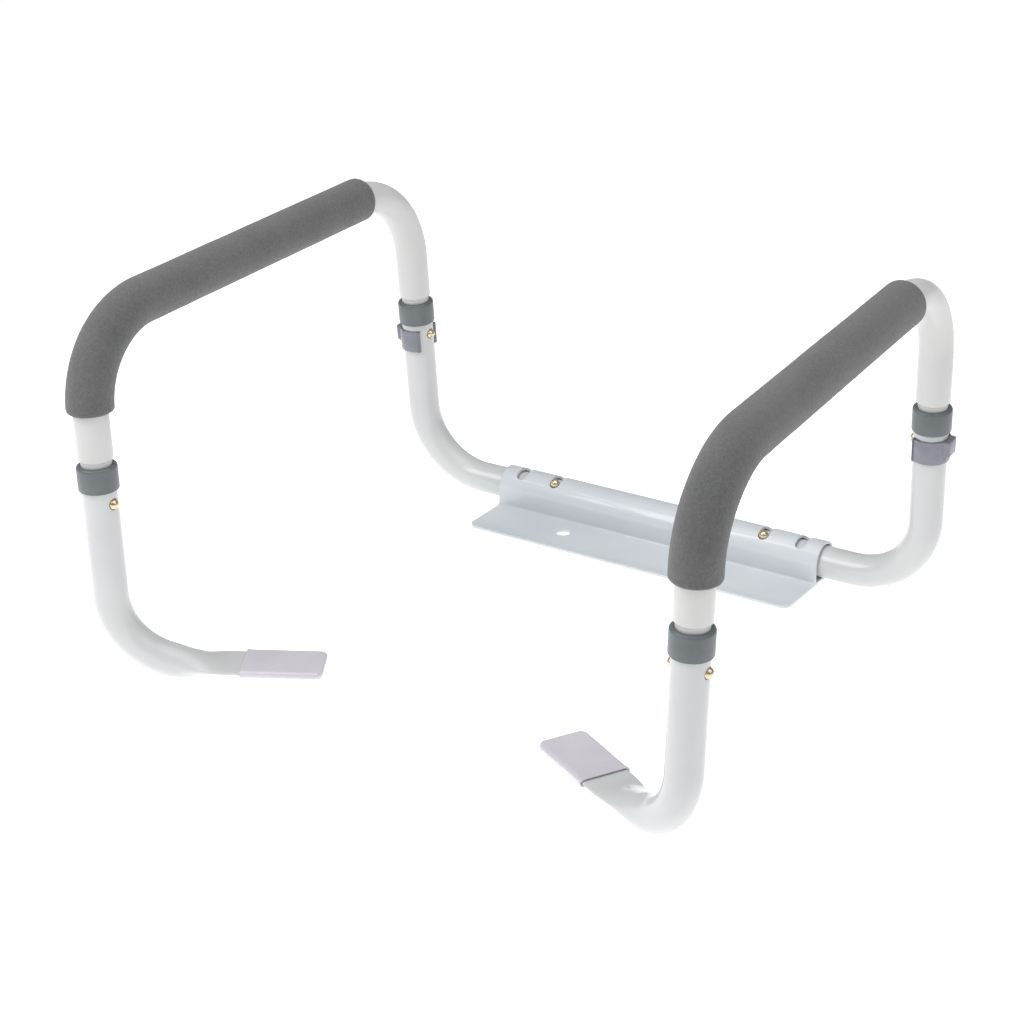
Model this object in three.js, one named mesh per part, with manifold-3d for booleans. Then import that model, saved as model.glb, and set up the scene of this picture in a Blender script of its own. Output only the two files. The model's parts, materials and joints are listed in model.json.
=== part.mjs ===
// Toilet-mounted safety rail: two bent-tube armrest frames that turn and slide in one rear bracket.
// Millimetres, +Z up, -Y towards the front of the bowl. Left and right are as seen from the front of the
// bowl: right is +X, which is on the seated user's left.
// The origin is on the underside of the bracket, below the axis of the tubes that it holds.
import * as THREE from 'three';
import { mergeVertices } from 'three/addons/utils/BufferGeometryUtils.js';
import Module from 'manifold-3d';

const wasm = await Module();
wasm.setup();

// ---- driving dimensions ----

const TUBE_RADIUS = 12.7;
const TUBE_WALL = 1.2;
const TUBE_BORE = TUBE_RADIUS - TUBE_WALL;
const NECK_RADIUS = 11.1; // swaged end of the arm tube, which slips into the tube below it
const NECK_BORE = NECK_RADIUS - TUBE_WALL;
const TOUCH = 0.3; // gap kept between pieces that touch

const SHEET = 2.3; // bracket sheet steel
const SLEEVE_BORE = 13.7;
const SLEEVE_RADIUS = SLEEVE_BORE + SHEET;
const PLATE_TOP = -13.4; // heights in the bracket are measured from the tube axis
const AXIS_HEIGHT = SHEET - PLATE_TOP;
const BRACKET_LENGTH = 290;
const FLANGE_FRONT = -64.5;
const FLANGE_CORNER = 9;
const BOLT_SPACING = 140; // toilet seat bolts
const BOLT_HOLE_RADIUS = 6;
const BOLT_HOLE_Y = -36.5;

const SLOT_NEAR = 95.5; // from the middle of the bracket to the slot that the button rests in
const WIDTH_STEP = 32; // to the outer slot
const BUTTON_ANGLE = 60; // degrees up from the front, round the sleeve
const TILT_RANGE = 60;
const SLOT_RADIUS = 4.4;

const BUTTON_RADIUS = 3.9;
const BUTTON_DOME = 3.2;
const BUTTON_HOLE = 4.3;

const TUBE_INNER_END = 45; // where each rear tube ends inside the bracket

// Centre line of one side frame: its corners before bending, from the tube axis, on the +X side.
const REAR_FOOT = { x: 226, y: 0, z: 0, bend: 57.5 };
const REAR_SHOULDER = { x: 230, y: -23, z: 255.5, bend: 69 };
const FRONT_SHOULDER = { x: 239, y: -397, z: 236.5, bend: 64 };
const FRONT_FOOT = { x: 231.5, y: -393.5, z: -18, bend: 55 };
const TIP_ANGLE = 29; // degrees that the tips point rearwards from straight across
const TIP_REACH = 149; // from the front foot's corner to the end of the flattened tip

const REAR_COLLAR_TOP = 150.5;
const FRONT_COLLAR_TOP = 136;
const COLLAR_HEIGHT = 18.5;
const COLLAR_RADIUS = 14.6;
const COLLAR_LIP = 4; // part of the collar that stands above the lower tube
const NECK_SHOWING = 3; // from the collar up to the arm tube's shoulder
const SHOULDER_HEIGHT = 2.2;
const NECK_BELOW_COLLAR = 50; // from the collar's top down to the end of the neck
const BUTTON_BELOW_COLLAR = 28.3;

const CLIP_TOP_BELOW_COLLAR = 23.3;
const CLIP_HEIGHT = 18;
const CLIP_WALL = 1.8;
const CLIP_OPENING = 55; // degrees from the middle of the clip's opening to each end
const CLIP_LIP = 1.5;
const CLIP_BOSS = { reach: 17.6, width: 15, height: 14, corner: 3 };

const GRIP_RADIUS = 16.9;
const GRIP_FRONT_END = 171.5; // height on the front leg
const GRIP_REAR_END = -87; // on the arm, towards the bracket
const GRIP_SHIFT = { left: -4, right: 4 }; // the foam grips sit by friction, and not quite alike

const PADDLE = { start: 54, flat: 80, width: 35.4, thickness: 2.6, corner: 5 };
const COVER = { start: 92, wall: 1.2, end: 2 };

const PLUG = { flange: 2.5, spigot: 12, wall: 1.6 };

const STRIP = 0.7; // snap-button spring steel
const STRIP_WIDTH = 6;

const SIDES = 16; // facets round a tube
const SMALL_SIDES = 12; // facets round a button, hole or lip
const CORNER_SEGMENTS = 6; // facets round a corner or a flat piece's edge
const BEND_STEP = THREE.MathUtils.degToRad(15);

const WELD = 0.1; // overlap of two solids that are joined into one
const OVERSHOOT = 2; // how far a cutter reaches past what it cuts
const THROUGH_TUBE = 3 * TUBE_RADIUS; // length of a cutter that passes right through a tube
const TUBE_FLAT = TUBE_RADIUS * Math.cos(Math.PI / SIDES) - 0.04; // just inside a tube's flats
const SLIP_BORE = TUBE_RADIUS / Math.cos(Math.PI / SIDES) + TOUCH; // bore of a piece that goes over a tube
const LEG_BUTTON_BASE = NECK_BORE - 0.6; // inner faces of the buttons, from the tube's axis
const WIDTH_BUTTON_BASE = TUBE_BORE - 1;

// ---- materials ----

const finishes = {
  enamel: { color: 0xe4e6e8, roughness: 0.35, metalness: 0.0 },
  powderCoat: { color: 0xd9dde2, roughness: 0.45, metalness: 0.0 },
  foam: { color: 0x626466, roughness: 0.95, metalness: 0.0 },
  greyPlastic: { color: 0x6a7175, roughness: 0.55, metalness: 0.0 },
  clipPlastic: { color: 0x777a84, roughness: 0.35, metalness: 0.0 },
  coverPlastic: { color: 0xd3ccd8, roughness: 0.25, metalness: 0.0 },
  brass: { color: 0xc79a52, roughness: 0.25, metalness: 1.0 },
  springSteel: { color: 0x9a9da0, roughness: 0.4, metalness: 1.0 },
  plugPlastic: { color: 0x3b3d40, roughness: 0.6, metalness: 0.0 },
};

function named(name, geometry, finish) {
  const mesh = new THREE.Mesh(geometry, new THREE.MeshStandardMaterial(finishes[finish]));
  mesh.name = name;
  return mesh;
}

// ---- solids ----

const MERGE_DISTANCE = 1e-4;

function solidOf(geometry, matrix = new THREE.Matrix4()) {
  const bare = geometry.clone().applyMatrix4(matrix);
  bare.deleteAttribute('normal');
  bare.deleteAttribute('uv');
  const merged = mergeVertices(bare, MERGE_DISTANCE);
  const index = merged.index.array;
  const corners = [];
  for (let i = 0; i < index.length; i += 3) {
    const [a, b, c] = [index[i], index[i + 1], index[i + 2]];
    if (a !== b && b !== c && c !== a) corners.push(a, b, c);
  }
  const vertProperties = new Float32Array(merged.attributes.position.array);
  const triVerts = new Uint32Array(corners);
  return new wasm.Manifold(new wasm.Mesh({ numProp: 3, vertProperties, triVerts }));
}

function geometryOf(solid) {
  const mesh = solid.getMesh();
  const geometry = new THREE.BufferGeometry();
  geometry.setAttribute('position', new THREE.BufferAttribute(mesh.vertProperties, 3));
  geometry.setIndex(new THREE.BufferAttribute(mesh.triVerts, 1));
  return geometry;
}

// A closed solid through rings of points, each ring as long as the last, with flat ends.
function loft(rings) {
  const around = rings[0].length;
  const positions = rings.flat().flatMap((p) => [p.x, p.y, p.z]);
  const index = [];
  for (let r = 0; r + 1 < rings.length; r++) {
    for (let i = 0; i < around; i++) {
      const a = r * around + i;
      const b = r * around + ((i + 1) % around);
      index.push(a, b, b + around, a, b + around, a + around);
    }
  }
  const last = (rings.length - 1) * around;
  for (let i = 1; i + 1 < around; i++) {
    index.push(0, i + 1, i);
    index.push(last, last + i, last + i + 1);
  }
  const geometry = new THREE.BufferGeometry();
  geometry.setAttribute('position', new THREE.Float32BufferAttribute(positions, 3));
  geometry.setIndex(index);
  return geometry;
}

function lathe(profile, sides = SIDES) {
  return new THREE.LatheGeometry(profile.map(([r, y]) => new THREE.Vector2(r, y)), sides);
}

function circle(radius) {
  return new THREE.Path().absarc(0, 0, radius, 0, 2 * Math.PI);
}

function ringShape(outer, inner) {
  const shape = new THREE.Shape().absarc(0, 0, outer, 0, 2 * Math.PI);
  shape.holes.push(circle(inner));
  return shape;
}

function roundedRectangle(width, height, radius) {
  const [w, h] = [width / 2, height / 2];
  const right = Math.PI / 2;
  return new THREE.Shape()
    .absarc(w - radius, h - radius, radius, 0, right)
    .absarc(radius - w, h - radius, radius, right, 2 * right)
    .absarc(radius - w, radius - h, radius, 2 * right, 3 * right)
    .absarc(w - radius, radius - h, radius, 3 * right, 4 * right);
}

// ---- centre line of a side frame: straights joined by round bends ----

class BentLine {
  constructor(corners) {
    this.parts = [];
    this.length = 0;
    let from = corners[0].point;
    for (let i = 1; i + 1 < corners.length; i++) {
      const { point, bend } = corners[i];
      const before = point.clone().sub(corners[i - 1].point).normalize();
      const after = corners[i + 1].point.clone().sub(point).normalize();
      const turn = before.angleTo(after);
      const setback = bend * Math.tan(turn / 2);
      const bendStart = point.clone().addScaledVector(before, -setback);
      this.addStraight(from, bendStart);
      this.addBend(bendStart, before, after, bend, turn);
      from = point.clone().addScaledVector(after, setback);
    }
    this.addStraight(from, corners.at(-1).point);
  }

  addPart(part) {
    this.parts.push({ ...part, start: this.length });
    this.length += part.length;
  }

  addStraight(from, to) {
    const along = to.clone().sub(from);
    this.addPart({ from, length: along.length(), along: along.normalize() });
  }

  addBend(from, along, after, radius, turn) {
    const inwards = after.clone().addScaledVector(along, -Math.cos(turn)).normalize();
    this.addPart({ from, along, inwards, radius, turn, length: radius * turn });
  }

  partAt(distance) {
    return this.parts.findLast((part) => part.start <= distance + 1e-6) ?? this.parts[0];
  }

  pointAt(distance) {
    const part = this.partAt(distance);
    const along = distance - part.start;
    if (!part.radius) return part.from.clone().addScaledVector(part.along, along);
    const angle = along / part.radius;
    return part.from
      .clone()
      .addScaledVector(part.along, part.radius * Math.sin(angle))
      .addScaledVector(part.inwards, part.radius * (1 - Math.cos(angle)));
  }

  tangentAt(distance) {
    const part = this.partAt(distance);
    if (!part.radius) return part.along.clone();
    const angle = (distance - part.start) / part.radius;
    return part.along
      .clone()
      .multiplyScalar(Math.cos(angle))
      .addScaledVector(part.inwards, Math.sin(angle));
  }

  // The distance along the line at which straight number `straight` reaches a value of x, y or z.
  where(straight, axis, value) {
    const part = this.parts[2 * straight];
    return part.start + (value - part.from[axis]) / part.along[axis];
  }

  // The places between two distances where a swept solid needs a ring: both ends, and steps round bends.
  stations(from, to) {
    const shortest = 0.5;
    const between = (place) => place > from + shortest && place < to - shortest;
    const places = [];
    for (const part of this.parts.filter((p) => p.radius)) {
      const steps = Math.ceil(part.turn / BEND_STEP);
      for (let i = 0; i <= steps; i++) places.push(part.start + (part.length * i) / steps);
    }
    return [from, ...places.filter(between), to];
  }
}

// A stretch of a bent line as a three.js curve, sampled at its stations instead of evenly.
class Stretch extends THREE.Curve {
  constructor(line, from, to) {
    super();
    this.line = line;
    this.places = line.stations(from, to);
    this.steps = this.places.length - 1;
  }

  distance(t) {
    const i = Math.min(Math.floor(t * this.steps + 1e-9), this.steps - 1);
    return THREE.MathUtils.lerp(this.places[i], this.places[i + 1], t * this.steps - i);
  }

  getPoint(t, target = new THREE.Vector3()) {
    return target.copy(this.line.pointAt(this.distance(t)));
  }

  getPointAt(t, target) {
    return this.getPoint(t, target);
  }

  getTangent(t, target = new THREE.Vector3()) {
    return target.copy(this.line.tangentAt(this.distance(t)));
  }

  getTangentAt(t, target) {
    return this.getTangent(t, target);
  }
}

function sweptTube(line, from, to, outer, inner) {
  const extrudePath = new Stretch(line, from, to);
  return new THREE.ExtrudeGeometry(ringShape(outer, inner), {
    curveSegments: SIDES / 2,
    steps: extrudePath.steps,
    extrudePath,
  });
}

// Where a piece sits on a tube: local +Z up the tube, local +X away from the user.
function seatOn(line, distance, side) {
  const up = line.tangentAt(distance);
  if (up.z < 0) up.negate();
  const out = new THREE.Vector3(side, 0, 0);
  out.addScaledVector(up, -out.dot(up)).normalize();
  const across = up.clone().cross(out);
  return new THREE.Matrix4().makeBasis(out, across, up).setPosition(line.pointAt(distance));
}

function centreLine(side) {
  const corner = ({ x, y, z, bend }) => ({ point: new THREE.Vector3(side * x, y, z), bend });
  const angle = THREE.MathUtils.degToRad(TIP_ANGLE);
  const foot = corner(FRONT_FOOT);
  const tip = new THREE.Vector3(-side * Math.cos(angle), Math.sin(angle), 0);
  return new BentLine([
    { point: new THREE.Vector3(side * TUBE_INNER_END, 0, 0) },
    corner(REAR_FOOT),
    corner(REAR_SHOULDER),
    corner(FRONT_SHOULDER),
    foot,
    { point: foot.point.clone().addScaledVector(tip, TIP_REACH) },
  ]);
}

const [BRACKET_RUN, REAR_LEG, ARM, FRONT_LEG, TIP_RUN] = [0, 1, 2, 3, 4];

// ---- mounting bracket: one folded sheet, flange and sleeve ----

function bracketProfile() {
  const heel = 4;
  const fillet = 2.5;
  const inner = 1.7;
  const floor = PLATE_TOP - SHEET;
  const right = Math.PI / 2;
  const shape = new THREE.Shape();
  shape.moveTo(FLANGE_FRONT, floor);
  shape.lineTo(SLEEVE_RADIUS - heel, floor);
  shape.absarc(SLEEVE_RADIUS - heel, floor + heel, heel, -right, 0);
  shape.absarc(0, 0, SLEEVE_RADIUS, 0, Math.PI);
  shape.absarc(-SLEEVE_RADIUS - fillet, PLATE_TOP + fillet, fillet, 0, -right, true);
  shape.lineTo(FLANGE_FRONT, PLATE_TOP);
  const hollow = new THREE.Path();
  hollow.absarc(SLEEVE_BORE - inner, PLATE_TOP + inner, inner, -right, 0);
  hollow.absarc(0, 0, SLEEVE_BORE, 0, Math.PI);
  hollow.absarc(inner - SLEEVE_BORE, PLATE_TOP + inner, inner, 2 * right, 3 * right);
  shape.holes.push(hollow);
  return shape;
}

// Turns an extrusion's section upright in the YZ plane, starting at x and running towards +X.
function alongBracket(x) {
  const section = [new THREE.Vector3(0, 1, 0), new THREE.Vector3(0, 0, 1), new THREE.Vector3(1, 0, 0)];
  return new THREE.Matrix4().makeBasis(...section).setPosition(x, 0, 0);
}

// A cut round the sleeve, from the button's place at rest to its place at full tilt.
function slotCutter(x) {
  const from = Math.PI - THREE.MathUtils.degToRad(BUTTON_ANGLE);
  const to = from - THREE.MathUtils.degToRad(TILT_RANGE);
  const [near, far] = [SLEEVE_BORE - OVERSHOOT, SLEEVE_RADIUS + OVERSHOOT];
  const sector = new THREE.Shape().absarc(0, 0, far, to, from).absarc(0, 0, near, from, to, true);
  const cut = new THREE.ExtrudeGeometry(sector, { depth: 2 * SLOT_RADIUS, bevelEnabled: false });
  let cutter = solidOf(cut, alongBracket(x - SLOT_RADIUS));
  for (const angle of [from, to]) {
    const end = new THREE.CylinderGeometry(SLOT_RADIUS, SLOT_RADIUS, far - near, SMALL_SIDES);
    end.translate(0, (near + far) / 2, 0).rotateX(angle).translate(x, 0, 0);
    cutter = cutter.add(solidOf(end));
  }
  return cutter;
}

function mountingBracket() {
  const sheet = new THREE.ExtrudeGeometry(bracketProfile(), {
    depth: BRACKET_LENGTH,
    curveSegments: SIDES / 2,
    bevelEnabled: false,
  });
  const half = BRACKET_LENGTH / 2;
  let solid = solidOf(sheet, alongBracket(-half));

  const cornerX = half - FLANGE_CORNER;
  const cornerY = FLANGE_FRONT + FLANGE_CORNER;
  const plan = new THREE.Shape()
    .absarc(-cornerX, cornerY, FLANGE_CORNER, Math.PI, 1.5 * Math.PI)
    .absarc(cornerX, cornerY, FLANGE_CORNER, 1.5 * Math.PI, 2 * Math.PI)
    .lineTo(half, 2 * SLEEVE_RADIUS)
    .lineTo(-half, 2 * SLEEVE_RADIUS);
  const tall = 4 * SLEEVE_RADIUS;
  const block = new THREE.ExtrudeGeometry(plan, {
    depth: tall,
    bevelEnabled: false,
    curveSegments: CORNER_SEGMENTS,
  });
  solid = solid.intersect(solidOf(block.translate(0, 0, -tall / 2)));

  for (const side of [-1, 1]) {
    solid = solid.subtract(slotCutter(side * SLOT_NEAR));
    solid = solid.subtract(slotCutter(side * (SLOT_NEAR + WIDTH_STEP)));
    const hole = new THREE.CylinderGeometry(BOLT_HOLE_RADIUS, BOLT_HOLE_RADIUS, 4 * SHEET, SIDES);
    hole.rotateX(Math.PI / 2).translate((side * BOLT_SPACING) / 2, BOLT_HOLE_Y, PLATE_TOP);
    solid = solid.subtract(solidOf(hole));
  }
  return named('mounting_bracket', geometryOf(solid), 'powderCoat');
}

// ---- tubes ----

function holeAcross(radius, length, seat) {
  const hole = new THREE.CylinderGeometry(radius, radius, length, SMALL_SIDES).rotateZ(Math.PI / 2);
  return solidOf(hole, seat);
}

function buttonDirection() {
  const angle = THREE.MathUtils.degToRad(BUTTON_ANGLE);
  return new THREE.Vector3(0, -Math.cos(angle), Math.sin(angle));
}

function rearTube(side, line, joint) {
  const top = joint.collarTop - COLLAR_LIP;
  let solid = solidOf(sweptTube(line, 0, top, TUBE_RADIUS, TUBE_BORE));
  solid = solid.subtract(holeAcross(BUTTON_HOLE, THROUGH_TUBE, seatOn(line, joint.button, side)));
  const hole = new THREE.CylinderGeometry(BUTTON_HOLE, BUTTON_HOLE, TUBE_RADIUS, SMALL_SIDES);
  hole.translate(0, TUBE_RADIUS, 0).rotateX(Math.PI - THREE.MathUtils.degToRad(BUTTON_ANGLE));
  hole.translate(side * SLOT_NEAR, 0, 0);
  return solid.subtract(solidOf(hole));
}

// The swaged end of the arm tube: a tongue inside the tube's wall, the shoulder, and the neck.
// It starts just inside the flats of the faceted tube, so that the two join cleanly.
function neck(line, distance, downwards, length) {
  const [tongue, inset, taper] = [0.8, 0.3, 0.4];
  const profile = [
    [TUBE_BORE + inset, -tongue],
    [TUBE_RADIUS - inset, -tongue],
    [TUBE_RADIUS - inset, -WELD],
    [TUBE_FLAT, -WELD],
    [TUBE_FLAT - taper, SHOULDER_HEIGHT / 2],
    [NECK_RADIUS, SHOULDER_HEIGHT],
    [NECK_RADIUS, length],
    [NECK_BORE, length],
    [NECK_BORE, SHOULDER_HEIGHT],
    [TUBE_BORE + inset / 2, -WELD],
    [TUBE_BORE + inset, -WELD],
    [TUBE_BORE + inset, -tongue],
  ];
  const axis = line.tangentAt(distance).multiplyScalar(downwards);
  const turn = new THREE.Quaternion().setFromUnitVectors(new THREE.Vector3(0, 1, 0), axis);
  const matrix = new THREE.Matrix4().makeRotationFromQuaternion(turn).setPosition(line.pointAt(distance));
  return solidOf(lathe(profile), matrix);
}

function armTube(side, line, rear, front) {
  const rearEnd = rear.collarTop + NECK_SHOWING + SHOULDER_HEIGHT;
  const frontEnd = front.collarTop - NECK_SHOWING - SHOULDER_HEIGHT;
  const neckLength = NECK_BELOW_COLLAR + NECK_SHOWING + SHOULDER_HEIGHT;
  let solid = solidOf(sweptTube(line, rearEnd, frontEnd, TUBE_RADIUS, TUBE_BORE));
  solid = solid.add(neck(line, rearEnd, -1, neckLength));
  solid = solid.add(neck(line, frontEnd, 1, neckLength));
  for (const joint of [rear, front]) {
    solid = solid.subtract(holeAcross(BUTTON_HOLE, THROUGH_TUBE, seatOn(line, joint.button, side)));
  }
  return solid;
}

// Rings of the tip: the round tube is pressed flat, keeping its length round the section.
function tipRing(flatness, roundRadius = TUBE_FLAT) {
  const ring = [];
  const radius = PADDLE.thickness / 2;
  const straight = PADDLE.width / 2 - radius;
  const perimeter = 4 * straight + 2 * Math.PI * radius;
  const cap = Math.PI * radius;
  const stadium = (run) => {
    if (run < straight) return [run, radius];
    if (run < straight + cap) {
      const angle = Math.PI / 2 - (run - straight) / radius;
      return [straight + radius * Math.cos(angle), radius * Math.sin(angle)];
    }
    return [straight - (run - straight - cap), -radius];
  };
  const points = 2 * SIDES;
  for (let i = 0; i < points; i++) {
    const share = i / points;
    const half = share < 0.5 ? share : 1 - share;
    const [x, y] = stadium(half * perimeter);
    const flat = new THREE.Vector2(share < 0.5 ? x : -x, y);
    const turn = Math.PI / 2 - 2 * Math.PI * share;
    const round = new THREE.Vector2(roundRadius * Math.cos(turn), roundRadius * Math.sin(turn));
    ring.push(round.lerp(flat, flatness));
  }
  return ring.reverse();
}

// The tip's own frame: local +Z along the tip from the foot's corner, local +Y up.
function tipFrame(line) {
  const along = line.parts.at(-1).along;
  const up = new THREE.Vector3(0, 0, 1);
  const across = up.clone().cross(along);
  const corner = line.pointAt(line.length).addScaledVector(along, -TIP_REACH);
  return new THREE.Matrix4().makeBasis(across, up, along).setPosition(corner);
}

// A block that rounds the end corners of the tip, from one distance along it to another.
function planBlock(width, from, to, corner, height) {
  const plan = roundedRectangle(width, 2 * (to - from), corner);
  const block = new THREE.ExtrudeGeometry(plan, {
    depth: height,
    bevelEnabled: false,
    curveSegments: CORNER_SEGMENTS,
  });
  return block.translate(0, from, -height / 2).rotateX(Math.PI / 2);
}

function flattenedTip(line) {
  const steps = 6;
  const tongue = 1;
  const plug = tipRing(0, TUBE_RADIUS - TUBE_WALL / 2);
  const at = (ring, along) => ring.map((p) => new THREE.Vector3(p.x, p.y, along));
  const rings = [at(plug, PADDLE.start - tongue), at(plug, PADDLE.start - WELD)];
  rings.push(at(tipRing(0), PADDLE.start - WELD));
  for (let i = 1; i <= steps; i++) {
    const flatness = THREE.MathUtils.smoothstep(i / steps, 0, 1);
    rings.push(at(tipRing(flatness), THREE.MathUtils.lerp(PADDLE.start, PADDLE.flat, i / steps)));
  }
  rings.push(at(tipRing(1), TIP_REACH));
  const plan = planBlock(THROUGH_TUBE, 0, TIP_REACH, PADDLE.corner, THROUGH_TUBE);
  return solidOf(loft(rings)).intersect(solidOf(plan)).transform(tipFrame(line).elements);
}

function frontTube(side, line, joint) {
  const top = joint.collarTop + COLLAR_LIP;
  const end = line.length - TIP_REACH + PADDLE.start;
  let solid = solidOf(sweptTube(line, top, end, TUBE_RADIUS, TUBE_BORE));
  solid = solid.add(flattenedTip(line));
  return solid.subtract(holeAcross(BUTTON_HOLE, THROUGH_TUBE, seatOn(line, joint.button, side)));
}

// A vinyl sleeve over the flattened tip, closed at its end.
function tipCover() {
  const wall = TOUCH + COVER.wall;
  const flatEdge = 0.05; // keeps the two edge rounds of the section apart
  const outer = { width: PADDLE.width + 2 * wall, height: PADDLE.thickness + 2 * wall };
  const inner = { width: PADDLE.width + 2 * TOUCH, height: PADDLE.thickness + 2 * TOUCH };
  const end = TIP_REACH + TOUCH + COVER.end;
  const bar = (size, from, to) => {
    const section = roundedRectangle(size.width, size.height, size.height / 2 - flatEdge);
    const depth = to - from;
    const options = { depth, bevelEnabled: false, curveSegments: CORNER_SEGMENTS };
    return new THREE.ExtrudeGeometry(section, options).translate(0, 0, from);
  };
  const sleeve = solidOf(bar(outer, COVER.start, end)).intersect(
    solidOf(planBlock(outer.width, 0, end, PADDLE.corner, 2 * outer.height)),
  );
  return sleeve.subtract(solidOf(bar(inner, COVER.start - OVERSHOOT, TIP_REACH + TOUCH)));
}

// ---- plastic parts ----

function collar() {
  const rim = COLLAR_HEIGHT - COLLAR_LIP + TOUCH;
  const neckBore = NECK_RADIUS + TOUCH;
  const chamfer = { inwards: 0.5, up: 0.8 };
  const [round, roundMiddle] = [2.2, 0.7];
  return lathe([
    [SLIP_BORE, 0],
    [COLLAR_RADIUS - chamfer.inwards, 0],
    [COLLAR_RADIUS, chamfer.up],
    [COLLAR_RADIUS, COLLAR_HEIGHT - round],
    [COLLAR_RADIUS - roundMiddle, COLLAR_HEIGHT - roundMiddle],
    [COLLAR_RADIUS - round, COLLAR_HEIGHT],
    [neckBore, COLLAR_HEIGHT],
    [neckBore, rim],
    [SLIP_BORE, rim],
    [SLIP_BORE, 0],
  ]).rotateX(Math.PI / 2);
}

// A snap-on C clip, open towards the user, with a pocket over the outer button.
function clip() {
  const inner = SLIP_BORE;
  const outer = inner + CLIP_WALL;
  const end = Math.PI - THREE.MathUtils.degToRad(CLIP_OPENING);
  const band = new THREE.Shape().absarc(0, 0, outer, -end, end).absarc(0, 0, inner, end, -end, true);
  const extrude = { depth: CLIP_HEIGHT, bevelEnabled: false, curveSegments: SIDES };
  let solid = solidOf(new THREE.ExtrudeGeometry(band, extrude));
  for (const angle of [-end, end]) {
    const lip = new THREE.CylinderGeometry(CLIP_LIP, CLIP_LIP, CLIP_HEIGHT, SMALL_SIDES);
    const reach = inner + CLIP_LIP;
    lip.rotateX(Math.PI / 2).translate(reach * Math.cos(angle), reach * Math.sin(angle), CLIP_HEIGHT / 2);
    solid = solid.add(solidOf(lip));
  }
  const { reach, width, height, corner } = CLIP_BOSS;
  const tall = 3 * CLIP_HEIGHT;
  const pocket = reach - CLIP_WALL / 2;
  const boss = new THREE.ExtrudeGeometry(roundedRectangle(2 * reach, width, corner), {
    depth: height,
    bevelEnabled: false,
    curveSegments: CORNER_SEGMENTS,
  }).translate(0, 0, CLIP_HEIGHT - height);
  const behind = new THREE.CylinderGeometry(inner, inner, tall, 2 * SIDES).rotateX(Math.PI / 2);
  const front = new THREE.BoxGeometry(2 * reach, 2 * reach, tall).translate(-reach, 0, 0);
  const outerBoss = solidOf(boss).subtract(solidOf(behind)).subtract(solidOf(front));
  solid = solid.add(outerBoss);
  const hollow = pocket - inner + OVERSHOOT;
  const button = new THREE.CylinderGeometry(BUTTON_HOLE, BUTTON_HOLE, hollow, SMALL_SIDES);
  button.rotateZ(Math.PI / 2).translate(pocket - hollow / 2, 0, clipButtonHeight());
  return geometryOf(solid.subtract(solidOf(button)));
}

// Where the outer button sits in the clip, up from the clip's lower edge.
function clipButtonHeight() {
  return CLIP_HEIGHT + CLIP_TOP_BELOW_COLLAR - BUTTON_BELOW_COLLAR;
}

// Closes the inner end of a rear tube inside the bracket, and steadies it in the sleeve.
function tubePlug() {
  const { flange, spigot, wall } = PLUG;
  const radius = TUBE_BORE - TOUCH;
  return lathe([
    [0, -flange],
    [TUBE_RADIUS, -flange],
    [TUBE_RADIUS, -TOUCH],
    [radius, -TOUCH],
    [radius, spigot],
    [radius - wall, spigot],
    [radius - wall, 0],
    [0, 0],
  ]);
}

// ---- snap buttons ----

function buttonGeometry(base, skin) {
  const steps = 3;
  const cap = (BUTTON_RADIUS ** 2 + BUTTON_DOME ** 2) / (2 * BUTTON_DOME);
  const spread = Math.asin(BUTTON_RADIUS / cap);
  const profile = [
    [0, base],
    [BUTTON_RADIUS, base],
  ];
  for (let i = 0; i < steps; i++) {
    const angle = spread * (1 - i / steps);
    profile.push([cap * Math.sin(angle), skin + BUTTON_DOME - cap * (1 - Math.cos(angle))]);
  }
  profile.push([0, skin + BUTTON_DOME]);
  return lathe(profile, SMALL_SIDES);
}

// A strip of spring steel along the points given, in the local XZ plane.
function strip(points) {
  const centre = points.map(([x, z]) => new THREE.Vector2(x, z));
  const sideways = centre.map((p, i) => {
    const before = centre[Math.max(i - 1, 0)];
    const after = centre[Math.min(i + 1, centre.length - 1)];
    const along = after.clone().sub(before).normalize();
    return new THREE.Vector2(-along.y, along.x).multiplyScalar(STRIP / 2);
  });
  const left = centre.map((p, i) => p.clone().add(sideways[i]));
  const right = centre.map((p, i) => p.clone().sub(sideways[i]));
  const shape = new THREE.Shape([...right, ...left.reverse()]);
  const geometry = new THREE.ExtrudeGeometry(shape, { depth: STRIP_WIDTH, bevelEnabled: false });
  return geometry.translate(0, 0, -STRIP_WIDTH / 2).rotateX(Math.PI / 2);
}

// A V of strip inside a tube: two leaves that press outwards, joined by a round bend below the buttons.
function leafSpring(reach, backReach) {
  const [fold, depth, beyond, foldSteps] = [2.2, 22, 5.5, 6];
  const points = [[backReach, beyond], [backReach, 0], [-fold, -depth]];
  for (let i = 1; i < foldSteps; i++) {
    const angle = Math.PI + (Math.PI * i) / foldSteps;
    points.push([fold * Math.cos(angle), -depth + fold * Math.sin(angle)]);
  }
  points.push([fold, -depth], [reach, 0], [reach, beyond]);
  return strip(points);
}

// ---- one side ----

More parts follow.
